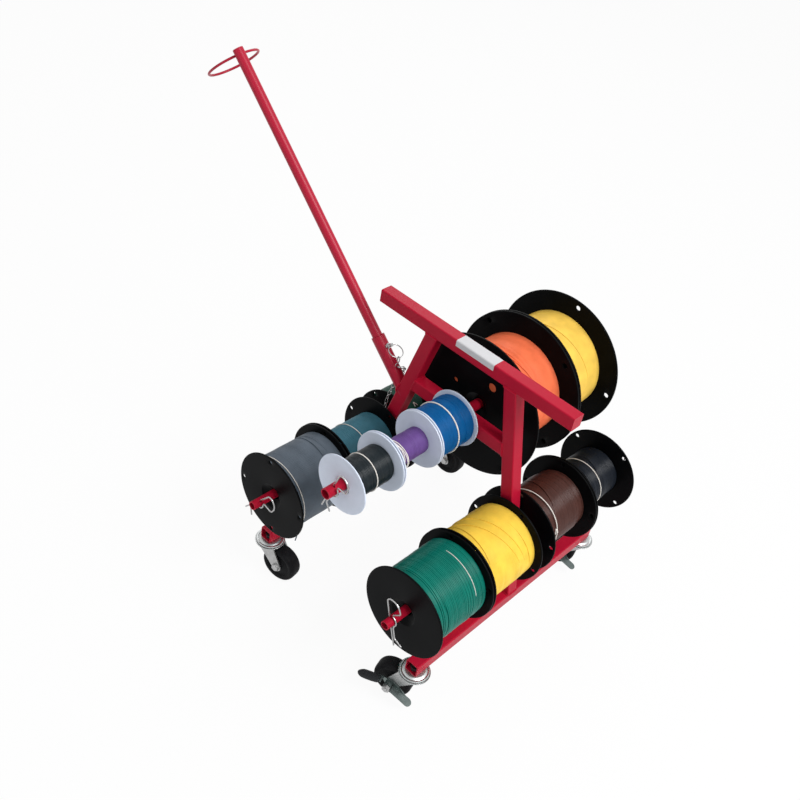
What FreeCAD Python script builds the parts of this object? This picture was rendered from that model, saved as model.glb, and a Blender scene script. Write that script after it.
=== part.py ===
import FreeCAD, Part
import math
import os
from FreeCAD import Vector

# A cart for wire reels: a welded square tube frame on four swivel casters, three spindles that stick
# out to the front and the back, twelve reels of wire, and a leaning pole with a guide ring.
# Millimetres. X runs across the cart, Y from front to back, Z up from the floor. While a piece is
# built, X = 0 is the middle of the frame. Saving moves everything by frame_x, so that the origin is
# the middle of the whole outline on the floor.

# Square tubing
tube_side = 25.4
tube_wall = 2.0
tube_corner = 2.4
half_tube = tube_side / 2

# Frame
rail_x = 189.0
rail_bottom = 82.0
rail_length = 508.0
rail_top = rail_bottom + tube_side
crossbar_length = 422.0
crossbar_bottom = 514.9
crossbar_top = crossbar_bottom + tube_side
leg_splay = math.radians(14.0)
leg_top_x = rail_x - (crossbar_bottom - rail_top) * math.tan(leg_splay)
middle_bar_z = 396.5
cap_thickness = 1.6

# Spindles, one tube each from the front tip to the back tip
spindle_tip_y = 319.0
spindle_wall = 1.6
low_spindle_r = 7.95
low_spindle_x = 161.5
low_spindle_z = 236.0
centre_spindle_r = 9.525
centre_spindle_z = middle_bar_z
cotter_inset = 15.0
cotter_wire_r = 1.6
cotter_tilt = {"left": -39.0, "right": 19.7, "centre": -18.5}

# Small reels (low spindles), flanged white reels (centre front) and large reels (centre back)
bore_r = 10.3
reel_gap = 0.35
dish_r = 24.0
dish_depth = 9.0
small_reel = {"flange_r": 82.5, "width": 128.0, "flange": 3.2, "barrel_r": 28.0}
narrow_reel = {"flange_r": 82.5, "width": 122.0, "flange": 3.2, "barrel_r": 28.0}
white_reel = {"flange_r": 52.5, "width": 88.5, "flange": 2.6, "barrel_r": 17.5}
large_reel = {"flange_r": 135.0, "width": 121.0, "flange": 4.0, "barrel_r": 45.0}
small_hole = {"count": 4, "at_r": 74.0, "r": 4.0}
rim_hole = {"count": 4, "at_r": 119.0, "r": 5.0}
core_hole = {"count": 4, "at_r": 60.0, "r": 9.0}
hole_sides = 8

# name: reel, spindle, first y, winding radius, angle of one hole from +X toward +Z
reels = {
    "green": (small_reel, "right", -277.0, 69.5, 20.0),
    "amber": (small_reel, "right", -146.0, 68.5, 73.5),
    "brown": (small_reel, "right", 16.5, 59.0, 8.5),
    "charcoal": (narrow_reel, "right", 146.5, 48.0, 53.5),
    "grey": (small_reel, "left", -277.0, 69.0, 6.5),
    "teal": (small_reel, "left", -146.0, 53.0, 69.0),
    "forest": (small_reel, "left", 16.5, 75.0, 40.0),
    "black": (white_reel, "centre", -285.0, 33.0, 0.0),
    "purple": (white_reel, "centre", -194.5, 24.0, 0.0),
    "blue": (white_reel, "centre", -104.0, 46.0, 0.0),
    "orange": (large_reel, "centre", 41.0, 96.0, 67.0),
    "yellow": (large_reel, "centre", 164.0, 97.0, 87.0),
}

# Casters
caster_y = 242.0
trail = 32.0
wheel_r = 36.0
wheel_width = 27.0
race_r = 26.0
race_height = 4.4
race_gap = 0.5
crown_r = 28.0
crown_height = 1.4
fork_plate = 2.6
fork_gap = 30.0
fork_tip_r = 10.0
kingpin_r = 5.0
axle_r = 4.0
running_fit = 0.05
crown_top = rail_bottom - race_height - race_gap
fork_top = crown_top - crown_height
fork_half = fork_gap / 2 + fork_plate
casters = {
    "front_left": (-1, -1, 10.0, False),
    "front_right": (1, -1, 195.5, True),
    "rear_left": (-1, 1, 5.0, False),
    "rear_right": (1, 1, 195.5, True),
}

# Brake lever: a rocker on the outer end of the axle, with a foot pad and a release wing.
# Lengths along the lever and heights are from the axle.
lever_plate = 2.0
lever_gap = 0.5
lever_in = fork_half + lever_gap
lever_hub_r = 7.5
lever_hub_end = 28.5
lever_below = [(-32.0, -10.2), (-10.0, -4.0), (-3.0, -8.5), (4.0, -8.5), (12.0, 3.0), (36.0, 0.5)]
lever_above = [(36.0, 2.5), (14.0, 10.0), (6.0, 10.5), (-6.0, 10.5), (-22.0, 2.0), (-32.0, -8.0)]
wing_width = 15.5
wing_start = (-8.0, 0.3)
wing_slope = math.radians(202.0)
wing_length = 43.0
pad_start = (12.0, 8.0)
pad_slope = math.radians(-14.0)
pad_length = 47.0
pad_thickness = 6.5

# Pole, its socket and the pull pin
pole_r = 9.525
pole_wall = 1.6
pole_base = Vector(-126.5, 0, 358.0)
pole_axis = Vector(-0.679, -0.085, 0.729).normalize()
pole_side = Vector(0.732, 0, 0.682).normalize()
pole_side = (pole_side - pole_axis * pole_side.dot(pole_axis)).normalize()
pole_back = pole_axis.cross(pole_side).normalize()
pole_start = 23.0
pole_length = 658.4
socket_r = 12.7
socket_bore_r = 10.3
socket_length = 115.9
socket_shift = 0.7
pin_at = 93.0
pin_r = 3.0
pin_eye = 24.0
pin_tip = 5.0
ring_at = 650.8
ring_r = 47.8
ring_rod_r = 2.25
ring_turn = math.radians(158.5)
pull_ring_r = 14.0
pull_wire_r = 1.0
pull_ring_dir = Vector(0.917, 0, -0.4).normalize()
pull_ring_axis = pull_ring_dir.cross(pole_back).normalize()
pull_link_dir = (pull_ring_dir * 0.965 - pole_back * 0.26).normalize()

# Lanyard chain
link_length = 13.2
link_width = 7.4
link_wire = 1.8
link_pitch = 9.7
chain_route = [
    Vector(-146.7, -11.5, 413.4),
    Vector(-145.5, -3.5, 405.5),
    Vector(-146.0, 7.0, 401.0),
    Vector(-150.0, 15.0, 390.0),
    Vector(-158.0, 16.0, 368.0),
    Vector(-165.0, 12.5, 345.0),
    Vector(-170.5, 8.0, 312.0),
    Vector(-170.5, 5.0, 290.0),
]
lug_hole = Vector(-169.0, 3.5, 280.0)

# Blank label on the top bar
label_left = -34.0
label_right = 48.0
label_back = 10.7
label_drop = 11.3
label_thickness = 0.3

# Left end of the outline is the guide ring, right end the rims of the right reels
ring_centre = (
    pole_base
    + pole_axis * ring_at
    + (pole_side * math.cos(ring_turn) + pole_back * math.sin(ring_turn)) * (ring_r + pole_r)
)
outline_left = ring_centre.x - ring_r * math.sqrt(1 - pole_axis.x**2) - ring_rod_r
outline_right = low_spindle_x + small_reel["flange_r"]
frame_x = -(outline_left + outline_right) / 2

across = Vector(1, 0, 0)
back = Vector(0, 1, 0)
up = Vector(0, 0, 1)


def save(name, shape):
    moved = shape.copy()
    moved.translate(Vector(frame_x, 0, 0))
    moved.exportStep("parts/" + name + ".step")


def group(shapes):
    return Part.makeCompound(shapes)


def block(x0, x1, y0, y1, z0, z1):
    return Part.makeBox(x1 - x0, y1 - y0, z1 - z0, Vector(x0, y0, z0))


def rod(r, start, axis, length):
    return Part.makeCylinder(r, length, start, axis)


def pipe(r, wall, start, axis, length):
    return rod(r, start, axis, length).cut(rod(r - wall, start, axis, length))


def prism(points, depth):
    return Part.Face(Part.makePolygon(points + points[:1])).extrude(depth)


def polygon_round(centre, axis, r, sides, turn=0.0):
    # Corner points of a regular polygon round an axis
    first = axis.cross(across) if abs(axis.x) < 0.9 else axis.cross(up)
    first.normalize()
    second = axis.cross(first)
    angles = [turn + 2 * math.pi * i / sides for i in range(sides)]
    return [centre + first * (r * math.cos(a)) + second * (r * math.sin(a)) for a in angles]


def hexagon(across_flats, start, axis, length):
    r = across_flats / 2 / math.cos(math.pi / 6)
    return prism(polygon_round(start, axis, r, 6), axis * length)


def straight_edges(shape, direction, length):
    # Edges that run along a direction and are at least so long
    found = []
    for edge in shape.Edges:
        run = edge.lastVertex().Point - edge.firstVertex().Point
        if run.Length >= length and run.cross(direction).Length < 0.001 * run.Length:
            found.append(edge)
    return found


def tube_outside(x0, x1, y0, y1, z0, z1, direction):
    solid = block(x0, x1, y0, y1, z0, z1)
    return solid.makeFillet(tube_corner, straight_edges(solid, direction, 50.0))


def leg_solid(side, half, corner):
    # Leaning square bar from the rail's top to the top bar's underside
    h = half / math.cos(leg_splay)
    low = side * rail_x
    high = side * leg_top_x
    corners = [
        Vector(low - h, -half, rail_top),
        Vector(low + h, -half, rail_top),
        Vector(high + h, -half, crossbar_bottom),
        Vector(high - h, -half, crossbar_bottom),
    ]
    solid = prism(corners, back * (2 * half))
    if corner:
        along = Vector(side * (leg_top_x - rail_x), 0, crossbar_bottom - rail_top)
        solid = solid.makeFillet(corner, straight_edges(solid, along, 100.0))
    return solid


def low_spindle_solid(side):
    start = Vector(side * low_spindle_x, -spindle_tip_y, low_spindle_z)
    return rod(low_spindle_r, start, back, 2 * spindle_tip_y)


def centre_spindle_solid():
    return rod(centre_spindle_r, Vector(0, -spindle_tip_y, centre_spindle_z), back, 2 * spindle_tip_y)


def leg(side):
    shell = leg_solid(side, half_tube, tube_corner).cut(leg_solid(side, half_tube - tube_wall, 0))
    return shell.cut(low_spindle_solid(side))


def rail(side):
    x = side * rail_x
    y = rail_length / 2
    solid = tube_outside(x - half_tube, x + half_tube, -y, y, rail_bottom, rail_top, back)
    inner = half_tube - tube_wall
    hollow = block(x - inner, x + inner, -y, y, rail_bottom + tube_wall, rail_top - tube_wall)
    solid = solid.cut(hollow)
    for y in (-caster_y, caster_y):
        solid = solid.cut(rod(kingpin_r, Vector(x, y, rail_bottom - 1), up, tube_wall + 2))
    return solid


def crossbar_outside():
    x = crossbar_length / 2
    return tube_outside(-x, x, -half_tube, half_tube, crossbar_bottom, crossbar_top, across)


def top_crossbar():
    # Square tube with a plate welded into each end
    x = crossbar_length / 2 - cap_thickness
    inner = half_tube - tube_wall
    middle = (crossbar_bottom + crossbar_top) / 2
    return crossbar_outside().cut(block(-x, x, -inner, inner, middle - inner, middle + inner))


def middle_crossbar():
    reach = rail_x
    low = middle_bar_z - half_tube
    high = middle_bar_z + half_tube
    inner = half_tube - tube_wall
    bar = tube_outside(-reach, reach, -half_tube, half_tube, low, high, across)
    bar = bar.cut(block(-reach, reach, -inner, inner, low + tube_wall, high - tube_wall))
    middle_x = rail_x - (middle_bar_z - rail_top) * math.tan(leg_splay)
    bar = bar.common(block(-middle_x, middle_x, -50, 50, low - 5, high + 5))
    for side in (-1, 1):
        bar = bar.cut(leg_solid(side, half_tube, 0))
    return bar.cut(centre_spindle_solid())


def cotter_direction(name, end):
    # Down the straight leg of the clip at the front (-1) or back (1) tip of a spindle
    tilt = math.radians(cotter_tilt[name]) * -end
    return Vector(math.sin(tilt), 0, -math.cos(tilt))


def spindle(name, solid, r):
    # Thin tube with a cross hole for the cotter near each tip
    box = solid.BoundBox
    x = box.Center.x
    z = box.Center.z
    tube = solid.cut(rod(r - spindle_wall, Vector(x, -spindle_tip_y, z), back, 2 * spindle_tip_y))
    for end in (-1, 1):
        middle = Vector(x, end * (spindle_tip_y - cotter_inset), z)
        down = cotter_direction(name, end)
        corners = polygon_round(middle - down * 15, down, cotter_wire_r + 0.5, 4, math.pi / 4)
        tube = tube.cut(prism(corners, down * 30))
    return tube


def arc_path(points, radii):
    # Straight runs joined by tangent arcs, one radius for each inner point
    edges = []
    start = points[0]
    for i in range(1, len(points) - 1):
        before = (points[i - 1] - points[i]).normalize()
        after = (points[i + 1] - points[i]).normalize()
        half_angle = before.getAngle(after) / 2
        cut = radii[i - 1] / math.tan(half_angle)
        first = points[i] + before * cut
        last = points[i] + after * cut
        middle_dir = (before + after).normalize()
        centre = points[i] + middle_dir * (radii[i - 1] / math.sin(half_angle))
        middle = centre - middle_dir * radii[i - 1]
        if (first - start).Length > 0.01:
            edges.append(Part.makeLine(start, first))
        edges.append(Part.Arc(first, middle, last).toShape())
        start = last
    edges.append(Part.makeLine(start, points[-1]))
    return Part.Wire(edges)


def bent_wire(path, r, sides):
    # A wire with flats, swept along a path
    start = path.Edges[0].firstVertex().Point
    along = (path.Edges[0].lastVertex().Point - start).normalize()
    corners = polygon_round(start, along, r, sides, math.pi / sides)
    section = Part.makePolygon(corners + corners[:1])
    return path.makePipeShell([section], True, False)


def cotter(name, end):
    # R shaped clip: a straight leg through the spindle, a round loop above it, a second leg that
    # hugs the tube and flares out. The first number runs down the straight leg, the second aside.
    x = {"left": -low_spindle_x, "right": low_spindle_x, "centre": 0.0}[name]
    z = centre_spindle_z if name == "centre" else low_spindle_z
    tube_r = centre_spindle_r if name == "centre" else low_spindle_r
    down = cotter_direction(name, end)
    aside = Vector(-down.z, 0, down.x)
    hug = tube_r + cotter_wire_r + 0.4
    outline = [
        (56, 0),
        (-14, 0),
        (-22, -11),
        (-43, -11),
        (-43, 19),
        (-24, 19),
        (1.2 - hug * math.sqrt(2), 3.8),
        (0, hug * math.sqrt(2)),
        (hug * math.sqrt(2) - 2.6, 2.6),
        (38, 15),
    ]
    radii = [6, 8, 14, 14, 8, 4, hug, 9]
    origin = Vector(x, end * (spindle_tip_y - cotter_inset), z)
    points = [origin + down * a + aside * w for a, w in outline]
    return bent_wire(arc_path(points, radii), cotter_wire_r, 4)


def hairpin_cotters():
    return group([cotter(name, end) for name in cotter_tilt for end in (-1, 1)])


def pin_hole():
    # Cross hole through the near wall of the socket and of the pole
    middle = pole_base + pole_axis * pin_at
    return rod(pin_r + running_fit, middle, pole_side, 20)


def pole_socket():
    # Round tube, coped to the leg's outer face, a little to the side of the pole's own axis
    centre = pole_base + pole_side * socket_shift
    tube = rod(socket_r, centre, pole_axis, socket_length)
    tube = tube.cut(rod(socket_bore_r, centre, pole_axis, socket_length))
    tube = tube.cut(leg_solid(-1, half_tube, 0))
    tube = max(tube.Solids, key=lambda s: s.CenterOfMass.z)
    return tube.cut(pin_hole())


def pole():
    start = pole_base + pole_axis * pole_start
    tube = pipe(pole_r, pole_wall, start, pole_axis, pole_length - pole_start)
    return tube.cut(pin_hole())


def hoop(centre, axis, r, wire_r, sides):
    # Closed ring of a wire with flats: half a ring swept, then its other half
    start = axis.cross(across).normalize()
    side = axis.cross(start)
    section = [
        centre + start * (r + wire_r * math.cos(a)) + axis * (wire_r * math.sin(a))
        for a in [2 * math.pi * (i + 0.5) / sides for i in range(sides)]
    ]
    face = Part.Face(Part.makePolygon(section + section[:1]))
    return face.revolve(centre, axis, 360)


def guide_ring():
    ring = hoop(ring_centre, pole_axis, ring_r, ring_rod_r, 6)
    return ring.cut(rod(pole_r, pole_base + pole_axis * (ring_at - 20), pole_axis, 40))


def pull_pin_point():
    return pole_base + pole_axis * pin_at + pole_side * pin_eye


def pull_pin():
    # Plain pin with a collar outside the socket and an eye for the split ring
    foot = pole_base + pole_axis * pin_at
    shank = rod(pin_r, foot - pole_side * pin_tip, pole_side, pin_tip + pin_eye + 3)
    collar = rod(5.0, foot + pole_side * (socket_r + socket_shift + 0.5), pole_side, 3.0)
    eye = rod(pull_wire_r + 0.5, pull_pin_point() - pole_back * 10, pole_back, 20)
    return shank.fuse(collar).cut(eye).removeSplitter()


def link(centre, along, flat):
    # Flat sided chain link: a long ring with cut corners
    def outline(long, wide, corner):
        points = [
            (long - corner, wide),
            (long, wide - corner),
            (long, corner - wide),
            (long - corner, -wide),
        ]
        points += [(-a, -b) for a, b in points]
        side = along.cross(flat)
        base = centre - flat * (link_wire / 2)
        return [base + along * a + side * b for a, b in points]

    outer = prism(outline(link_length / 2, link_width / 2, 2.0), flat * link_wire)
    inner = outline(link_length / 2 - link_wire, link_width / 2 - link_wire, 0.9)
    return outer.cut(prism(inner, flat * link_wire))


def pull_pin_ring():
    # Split ring through the pin's eye, with one link that hangs from it
    centre = pull_pin_point() + pull_ring_dir * pull_ring_r
    ring = hoop(centre, pull_ring_axis, pull_ring_r, pull_wire_r, 6)
    low = centre + pull_link_dir * pull_ring_r
    flat = pull_ring_axis.cross(pull_link_dir)
    flat = Vector(flat.x, flat.y, 0).normalize()
    hang = low - up * (link_length / 2 - link_wire - pull_wire_r - 0.1)
    return group([ring, link(hang, up, flat)])


def lanyard_chain():
    # Links at even steps along the hanging route, each turned a quarter against the one before
    curve = Part.BSplineCurve()
    curve.interpolate(chain_route)
    count = int(curve.length() / link_pitch)
    links = []
    for i in range(count + 1):
        at = curve.parameterAtDistance(i * link_pitch, curve.FirstParameter)
        along = curve.tangent(at)[0]
        flat = along.cross(back if abs(along.y) < 0.9 else across).normalize()
        if i % 2:
            flat = along.cross(flat).normalize()
        links.append(link(curve.value(at), along, flat))
    return group(links)


def chain_lug():
    # Small plate on the leg's outer side, with a hole that the chain's last link hangs at
    z = lug_hole.z
    leg_x = -(rail_x - (z - rail_top) * math.tan(leg_splay))
    half = 1.2
    plate = block(lug_hole.x, leg_x, lug_hole.y - half, lug_hole.y + half, z - 5, z + 5)
    plate = plate.fuse(rod(5.0, lug_hole - back * half, back, 2 * half)).removeSplitter()
    plate = plate.cut(leg_solid(-1, half_tube, 0))
    plate = min(plate.Solids, key=lambda s: s.CenterOfMass.x)
    return plate.cut(rod(2.4, lug_hole - back * 3, back, 6))


def label():
    # Thin film over the top and the front of the bar
    y = -half_tube - label_thickness
    z = crossbar_top + label_thickness
    film = block(label_left, label_right, y, label_back, crossbar_top - label_drop, z)
    edge = min(straight_edges(film, across, 10), key=lambda e: e.CenterOfMass.y - e.CenterOfMass.z)
    film = film.makeFillet(tube_corner + label_thickness, [edge])
    return film.cut(crossbar_outside())


def reel_spindle(name):
    # Axis of a reel: it hangs on its spindle, so its axis lies a little lower
    if name == "centre":
        return 0.0, centre_spindle_z - (bore_r - centre_spindle_r - reel_gap)
    side = 1 if name == "right" else -1
    return side * low_spindle_x, low_spindle_z - (bore_r - low_spindle_r - reel_gap)


def turned(points, x, y, z):
    # Solid of revolution about the Y axis from (radius, y) points
    corners = [Vector(x + r, y + b, z) for r, b in points]
    face = Part.Face(Part.makePolygon(corners + corners[:1]))
    return face.revolve(Vector(x, y, z), back, 360)


def hole_ring(holes, x, y, z, width, first_angle):
    cutters = []
    for i in range(holes["count"]):
        angle = math.radians(first_angle + 360 * i / holes["count"])
        centre = Vector(x + holes["at_r"] * math.cos(angle), y - 1, z + holes["at_r"] * math.sin(angle))
        cutters.append(prism(polygon_round(centre, back, holes["r"], hole_sides), back * (width + 2)))
    return cutters


def reel(name):
    # Two flanges on a barrel, with a dish round the bore in each outer face
    kind, where, y, winding_r, angle = reels[name]
    x, z = reel_spindle(where)
    flange_r = kind["flange_r"]
    width = kind["width"]
    flange = kind["flange"]
    barrel_r = kind["barrel_r"]
    dish = min(dish_r, barrel_r - 2.5)
    profile = [
        (bore_r, dish_depth),
        (dish, 0),
        (flange_r, 0),
        (flange_r, flange),
        (barrel_r, flange),
        (barrel_r, width - flange),
        (flange_r, width - flange),
        (flange_r, width),
        (dish, width),
        (bore_r, width - dish_depth),
    ]
    solid = turned(profile, x, y, z)
    cutters = []
    if kind is large_reel:
        cutters += hole_ring(rim_hole, x, y, z, width, angle)
        cutters += hole_ring(core_hole, x, y, z, width, angle)
    elif kind is not white_reel:
        cutters += hole_ring(small_hole, x, y, z, width, angle)
    if cutters:
        solid = solid.cut(group(cutters))
    return solid


def winding(name):
    # Wound wire as a plain ring that fills the reel up to its winding radius
    kind, where, y, winding_r, angle = reels[name]
    x, z = reel_spindle(where)
    first = kind["flange"]
    last = kind["width"] - kind["flange"]
    barrel_r = kind["barrel_r"]
    profile = [(barrel_r, first), (winding_r, first), (winding_r, last), (barrel_r, last)]
    return turned(profile, x, y, z)


def upright(points, x, y):
    # Solid of revolution about a vertical axis from (radius, z) points
    corners = [Vector(x + r, y, z) for r, z in points]
    face = Part.Face(Part.makePolygon(corners + corners[:1]))
    return face.revolve(Vector(x, y, 0), up, 360)


def upper_raceway(x, y):
    low = rail_bottom - race_height
    profile = [
        (kingpin_r, rail_bottom),
        (race_r, rail_bottom),
        (race_r - 3, low),
        (kingpin_r, low),
    ]
    return upright(profile, x, y)


def kingpin(x, y):
    # Bolt with its head under the fork's crown and its nut inside the rail
    head = hexagon(16.0, Vector(x, y, fork_top - fork_plate - 4.6), up, 4.0)
    nut = hexagon(16.0, Vector(x, y, rail_bottom + tube_wall), up, 7.0)
    length = rail_bottom + tube_wall + 9.0 - (fork_top - fork_plate - 4.6)
    shank = rod(kingpin_r, Vector(x, y, fork_top - fork_plate - 4.6), up, length)
    return shank.fuse([head, nut]).removeSplitter()


def place_caster(shape, name):
    side, end, yaw, brake = casters[name]
    turned_shape = shape.copy()
    turned_shape.rotate(Vector(0, 0, 0), up, yaw)
    turned_shape.translate(Vector(side * rail_x, end * caster_y, 0))
    return turned_shape


def fork():
    # Swivel fork: a crown disc on a bent plate with two tapered cheeks that end round the axle
    low = fork_top - fork_plate
    tip = Vector(trail, 0, wheel_r)
    front = -20.0
    rear = 22.0
    lean = math.atan2(fork_top - wheel_r, trail - front)
    left = tip + Vector(-math.sin(lean), 0, -math.cos(lean)) * fork_tip_r
    side_lean = math.atan2(trail - rear, fork_top - wheel_r)
    right = tip + Vector(math.cos(side_lean), 0, math.sin(side_lean)) * fork_tip_r
    top_left = Vector(front, 0, fork_top)
    top_right = Vector(rear, 0, fork_top)
    bottom = tip + (left + right - tip * 2).normalize() * fork_tip_r
    outline = Part.Wire([
        Part.makeLine(top_left, left),
        Part.Arc(left, bottom, right).toShape(),
        Part.makeLine(right, top_right),
        Part.makeLine(top_right, top_left),
    ])
    cheek = Part.Face(outline).extrude(back * fork_plate)
    near = cheek.translated(Vector(0, -fork_half, 0))
    far = cheek.translated(Vector(0, fork_half - fork_plate, 0))
    bridge = block(front, rear, -fork_half, fork_half, low, fork_top)
    crown = rod(crown_r, Vector(0, 0, fork_top), up, crown_height)
    body = near.fuse([far, bridge, crown]).removeSplitter()
    body = body.cut(rod(kingpin_r + running_fit, Vector(0, 0, low - 1), up, 20))
    return body.cut(rod(axle_r, Vector(trail, -30, wheel_r), back, 60))


def axle(brake):
    # Bolt through the wheel, with its head on the fork and its nut on the fork or the brake lever
    reach = lever_hub_end + lever_gap if brake else fork_half
    start = Vector(trail, -fork_half, wheel_r)
    end = Vector(trail, reach, wheel_r)
    shank = rod(axle_r, start - back * 4, back, fork_half + reach + 11)
    head = hexagon(13.0, start - back * 4.5, back, 4.5)
    nut = hexagon(13.0, end, back, 5.5)
    return shank.fuse([head, nut]).removeSplitter()


def wheel():
    # Tyre with rounded shoulders, dished sides and a hub, centred on the fork's gap
    half = wheel_width / 2
    hub = fork_gap / 2 - 0.4
    bore = axle_r + running_fit
    side = [(bore, hub), (9.0, hub), (22.0, half - 3), (wheel_r - 4, half), (wheel_r, half - 5)]
    profile = side + [(r, -b) for r, b in reversed(side)]
    return turned(profile, trail, 0, wheel_r)


def tongue(start, slope, length, width, thickness):
    # Plate with a round end that runs out from a point (along, height) of the lever's plate
    run = Vector(math.cos(slope), 0, math.sin(slope))
    normal = Vector(-math.sin(slope), 0, math.cos(slope))
    r = width / 2
    base = Vector(trail + start[0], lever_in, wheel_r + start[1]) - normal * (thickness / 2)
    near = base + run * (length - r)
    far = near + back * width
    outline = Part.Wire([
        Part.makeLine(base, near),
        Part.Arc(near, near + back * r + run * r, far).toShape(),
        Part.makeLine(far, base + back * width),
        Part.makeLine(base + back * width, base),
    ])
    return Part.Face(outline).extrude(normal * thickness)


def brake_lever():
    # Side plate on a hub round the axle, with a wing bent out of each of its ends
    corners = [Vector(trail + a, lever_in, wheel_r + b) for a, b in lever_below + lever_above]
    plate = prism(corners, back * lever_plate)
    hub = rod(lever_hub_r, Vector(trail, lever_in, wheel_r), back, lever_hub_end - lever_in)
    wing = tongue(wing_start, wing_slope, wing_length, wing_width, lever_plate)
    foot = tongue(pad_start, pad_slope, pad_length - 3, wing_width - 3, lever_plate)
    body = plate.fuse([hub, wing, foot]).removeSplitter()
    return body.cut(rod(axle_r + running_fit, Vector(trail, -40, wheel_r), back, 90))


def pad_cover():
    # Moulded cover that wraps the foot end of the lever
    start = (pad_start[0] + 4, pad_start[1])
    cover = tongue(start, pad_slope, pad_length - 4, wing_width, pad_thickness)
    return cover.cut(brake_lever())


def caster_bolts():
    return group([kingpin(side * rail_x, end * caster_y) for side in (-1, 1) for end in (-1, 1)])


def upper_raceways():
    return group([upper_raceway(side * rail_x, end * caster_y) for side in (-1, 1) for end in (-1, 1)])


def main():
    os.makedirs("parts", exist_ok=True)
    for word, side in (("left", -1), ("right", 1)):
        save(word + "_rail", rail(side))
        save(word + "_leg", leg(side))
        save(word + "_spindle", spindle(word, low_spindle_solid(side), low_spindle_r))
    save("centre_spindle", spindle("centre", centre_spindle_solid(), centre_spindle_r))
    save("top_crossbar", top_crossbar())
    save("middle_crossbar", middle_crossbar())
    save("pole_socket", pole_socket())
    save("pole", pole())
    save("guide_ring", guide_ring())
    save("pull_pin", pull_pin())
    save("pull_pin_ring", pull_pin_ring())
    save("lanyard_chain", lanyard_chain())
    save("chain_lug", chain_lug())
    save("blank_label", label())
    save("hairpin_cotters", hairpin_cotters())
    save("caster_bolts", caster_bolts())
    save("upper_raceways", upper_raceways())
    for name, (side, end, yaw, brake) in casters.items():
        save(name + "_fork", place_caster(fork(), name))
        save(name + "_axle", place_caster(axle(brake), name))
        save(name + "_wheel", place_caster(wheel(), name))
        if brake:
            save(name + "_brake_lever", place_caster(brake_lever(), name))
            save(name + "_brake_pad", place_caster(pad_cover(), name))
    for name in reels:
        save(name + "_reel", reel(name))
        save(name + "_winding", winding(name))
    print("frame moved by", round(frame_x, 3))


main()
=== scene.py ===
import bpy
import bmesh
import math
import numpy as np
from mathutils import Matrix, Vector


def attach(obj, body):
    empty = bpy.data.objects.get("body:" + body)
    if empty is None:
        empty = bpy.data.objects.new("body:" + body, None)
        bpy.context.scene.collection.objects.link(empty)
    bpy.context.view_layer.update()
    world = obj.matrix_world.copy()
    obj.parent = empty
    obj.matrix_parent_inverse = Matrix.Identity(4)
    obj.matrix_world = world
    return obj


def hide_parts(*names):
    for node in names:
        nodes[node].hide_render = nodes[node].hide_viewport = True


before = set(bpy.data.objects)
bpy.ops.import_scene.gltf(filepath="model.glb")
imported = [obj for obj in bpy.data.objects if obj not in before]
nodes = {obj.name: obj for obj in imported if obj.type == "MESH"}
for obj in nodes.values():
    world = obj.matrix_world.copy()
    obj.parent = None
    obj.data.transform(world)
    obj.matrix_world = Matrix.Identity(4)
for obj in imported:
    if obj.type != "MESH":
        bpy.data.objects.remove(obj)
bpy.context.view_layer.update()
print("frame loaded with", len(nodes), "nodes")

# Lengths below are millimetres from the middle of the cart's frame: X to the right, Y to the back, Z up
# from the floor. Every mesh is moved by frameX and turned into metres when it is made.
frameX = 201.021
mm = 0.001
axisX, axisY, axisZ = np.eye(3)

# Camera: angles in degrees, places in metres
cameraFit = {
    "azimuth": 37.053,
    "elevation": 38.967,
    "roll": 11.152,
    "distance": 1.799417,
    "target": (0.061697, 0.005683, 0.329353),
    "focalPixels": 973.803,
    "imagePixels": 800,
    "sensorWidth": 36.0,
    "clip": (0.05, 50),
}


def makeCamera(fit):
    # Place = target + distance * direction; lens = sensor width * focal pixels / image pixels
    az, el, roll = (math.radians(fit[k]) for k in ("azimuth", "elevation", "roll"))
    toCamera = Vector((math.sin(az) * math.cos(el), -math.cos(az) * math.cos(el), math.sin(el)))
    right = (-toCamera).cross(Vector(axisZ)).normalized()
    up = right.cross(-toCamera)
    imageRight = right * math.cos(roll) + up * math.sin(roll)
    imageUp = up * math.cos(roll) - right * math.sin(roll)
    data = bpy.data.cameras.new("photoCamera")
    data.sensor_width = fit["sensorWidth"]
    data.lens = fit["sensorWidth"] * fit["focalPixels"] / fit["imagePixels"]
    data.clip_start, data.clip_end = fit["clip"]
    camera = bpy.data.objects.new("photoCamera", data)
    turn = Matrix((imageRight, imageUp, toCamera)).transposed().to_4x4()
    camera.matrix_world = Matrix.Translation(Vector(fit["target"]) + toCamera * fit["distance"]) @ turn
    bpy.context.scene.collection.objects.link(camera)
    bpy.context.scene.camera = camera


makeCamera(cameraFit)
print("camera set")


# Surfaces
def unit(v):
    # A vector over its own length
    return v / np.linalg.norm(v, axis=-1, keepdims=True)


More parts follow.
